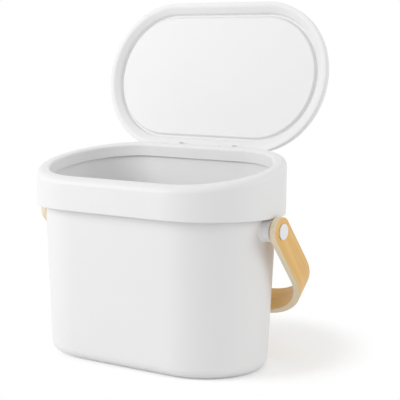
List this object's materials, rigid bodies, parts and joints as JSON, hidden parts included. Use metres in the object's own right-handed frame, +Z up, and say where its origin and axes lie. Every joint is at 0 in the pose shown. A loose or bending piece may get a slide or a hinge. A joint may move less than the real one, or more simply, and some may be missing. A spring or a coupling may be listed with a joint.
{
  "type": "wall-mounted compost bin",
  "caption": "Tapered oval kitchen compost bin with a sloping lift-off rim ring, a hinged lid, a bent wood swing handle and a keyhole wall mount behind.",
  "frame": {"origin": "middle of the body's flat underside, on the surface that it stands on", "axes": "+X along the oval towards its right end, +Y towards the back where the lid is hinged, +Z up"},
  "size_m": [0.2656, 0.1833, 0.3284],
  "materials": {
    "white_plastic": "fine satin moulded white plastic",
    "white_trim": "smooth white plastic",
    "wood": "clear-lacquered bent laminated wood, paler layers on its edges",
    "steel": "plain bright steel",
    "pads": "matte grey anti-slip rubber"
  },
  "bodies": {
    "bin": {"body": "white_plastic", "handle_pin_left": "white_trim", "handle_pin_right": "white_trim", "handle_washer_left": "white_trim", "handle_washer_right": "white_trim", "pin_nut_left": "white_trim", "pin_nut_right": "white_trim", "wall_mount": "white_plastic", "mount_screw_left": "steel", "mount_screw_right": "steel", "pad_front_left": "pads", "pad_front_right": "pads", "pad_back_left": "pads", "pad_back_right": "pads"},
    "collar": {"collar": "white_plastic", "hinge_pin_left": "steel", "hinge_pin_right": "steel"},
    "lid": {"lid_shell": "white_plastic", "lid_liner": "white_plastic"},
    "handle": {"handle": "wood"}
  },
  "joints": [
    {"name": "collar_lift", "type": "slide", "parent": "bin", "child": "collar", "axis": [0, 0, 1], "range_m": [0, 0.06]},
    {"name": "lid_hinge", "type": "hinge", "parent": "collar", "child": "lid", "pos_m": [0, 0.06925, 0.19044], "axis": [1, 0, 0], "range_deg": [0, 113]},
    {"name": "handle_swing", "type": "hinge", "parent": "bin", "child": "handle", "pos_m": [0, 0, 0.1279], "axis": [1, 0, 0], "range_deg": [0, 70]}
  ]
}
